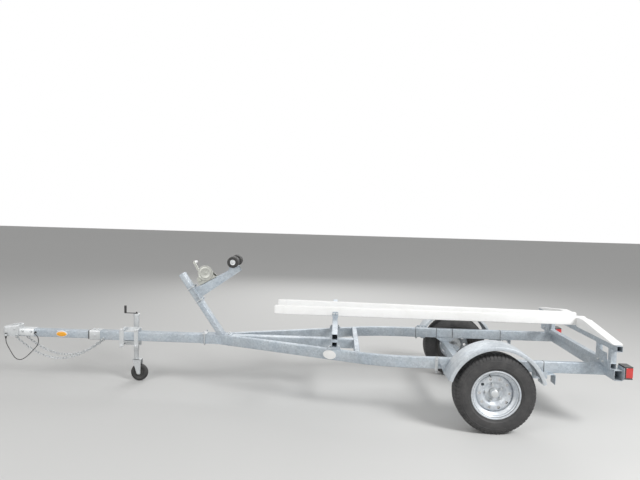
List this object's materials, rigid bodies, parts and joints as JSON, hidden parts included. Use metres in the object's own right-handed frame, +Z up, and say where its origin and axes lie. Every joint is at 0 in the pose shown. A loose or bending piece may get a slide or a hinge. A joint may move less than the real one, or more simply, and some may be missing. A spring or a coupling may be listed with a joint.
{
  "type": "boat trailer",
  "caption": "Galvanised single-axle boat trailer with bunks, rear cross pads, fenders, a winch post with a bow roller, and a swing-up jack it stands on.",
  "frame": {"origin": "on the floor, half-way along the trailer and on its centre line", "axes": "+X towards the rear, +Y towards the far side where the jack is, +Z up"},
  "size_m": [5.964, 1.79, 1.3769],
  "materials": {
    "galvanised": "satin",
    "bright_zinc": "satin",
    "black_paint": "gloss",
    "tyre_rubber": "matte",
    "roller_rubber": "satin",
    "white_cover": "matte",
    "amber_lens": "gloss",
    "red_lens": "gloss"
  },
  "bodies": {
    "chassis": {"axle_arms": "galvanised", "axle_beam": "galvanised", "axle_brackets": "galvanised", "bunk_brackets": "galvanised", "bunk_far": "white_cover", "bunk_near": "white_cover", "chain_anchors": "bright_zinc", "coupler": "bright_zinc", "crossmember_front": "galvanised", "crossmember_rear": "galvanised", "fender_brackets": "galvanised", "fender_far": "galvanised", "fender_near": "galvanised", "front_bunk_tube": "galvanised", "front_support_beam": "galvanised", "front_support_posts": "galvanised", "harness_plug": "roller_rubber", "jack_mount": "galvanised", "lamp_brackets": "galvanised", "lamp_harness": "roller_rubber", "post_saddle": "galvanised", "rear_bunk_tube": "galvanised", "rear_pads": "white_cover", "rear_support_beam": "galvanised", "rear_support_posts": "galvanised", "roller_bracket": "galvanised", "safety_chains": "bright_zinc", "side_markers": "amber_lens", "side_rail_far": "galvanised", "side_rail_near": "galvanised", "tail_lamps": "red_lens", "tongue_collar": "bright_zinc", "tongue_front_tube": "galvanised", "tongue_tube": "galvanised", "winch_arm": "galvanised", "winch_frame": "bright_zinc", "winch_post": "galvanised"},
    "wheel_near": {"hub_near": "bright_zinc", "rim_near": "galvanised", "tyre_near": "tyre_rubber"},
    "wheel_far": {"hub_far": "bright_zinc", "rim_far": "galvanised", "tyre_far": "tyre_rubber"},
    "bow_roller": {"bow_roller": "roller_rubber"},
    "winch_drum": {"winch_drum": "bright_zinc"},
    "winch_crank": {"winch_crank": "bright_zinc"},
    "jack_body": {"jack_tube": "bright_zinc", "jack_crank": "black_paint"},
    "jack_leg": {"jack_leg": "bright_zinc"},
    "jack_castor": {"jack_fork": "bright_zinc"},
    "jack_wheel": {"jack_wheel": "roller_rubber"}
  },
  "joints": [
    {"name": "wheel_near_spin", "type": "hinge", "parent": "chassis", "child": "wheel_near", "pos_m": [1.808, -0.772, 0.344], "axis": [0, 1, 0], "continuous": true},
    {"name": "wheel_far_spin", "type": "hinge", "parent": "chassis", "child": "wheel_far", "pos_m": [1.808, 0.772, 0.344], "axis": [0, 1, 0], "continuous": true},
    {"name": "bow_roller_spin", "type": "hinge", "parent": "chassis", "child": "bow_roller", "pos_m": [-0.59204, 0, 1.32099], "axis": [0, 1, 0], "continuous": true},
    {"name": "winch_drum_spin", "type": "hinge", "parent": "chassis", "child": "winch_drum", "pos_m": [-0.88243, 0, 1.19719], "axis": [0, 1, 0], "continuous": true},
    {"name": "winch_crank_spin", "type": "hinge", "parent": "chassis", "child": "winch_crank", "pos_m": [-0.93768, 0, 1.12114], "axis": [0, 1, 0], "continuous": true},
    {"name": "jack_swing", "type": "hinge", "parent": "chassis", "child": "jack_body", "pos_m": [-1.662, 0.165, 0.524], "axis": [0, -1, 0], "range_deg": [0, 90]},
    {"name": "jack_extend", "type": "slide", "parent": "jack_body", "child": "jack_leg", "axis": [0, 0, -1], "range_m": [-0.08, 0.17]},
    {"name": "jack_castor", "type": "hinge", "parent": "jack_leg", "child": "jack_castor", "pos_m": [-1.662, 0.165, 0.236], "axis": [0, 0, 1], "continuous": true},
    {"name": "jack_wheel_spin", "type": "hinge", "parent": "jack_castor", "child": "jack_wheel", "pos_m": [-1.627, 0.165, 0.09], "axis": [0, 1, 0], "continuous": true}
  ],
  "couplings": [
    {"joint": "winch_crank_spin", "follows": "winch_drum_spin", "ratio": -5}
  ]
}
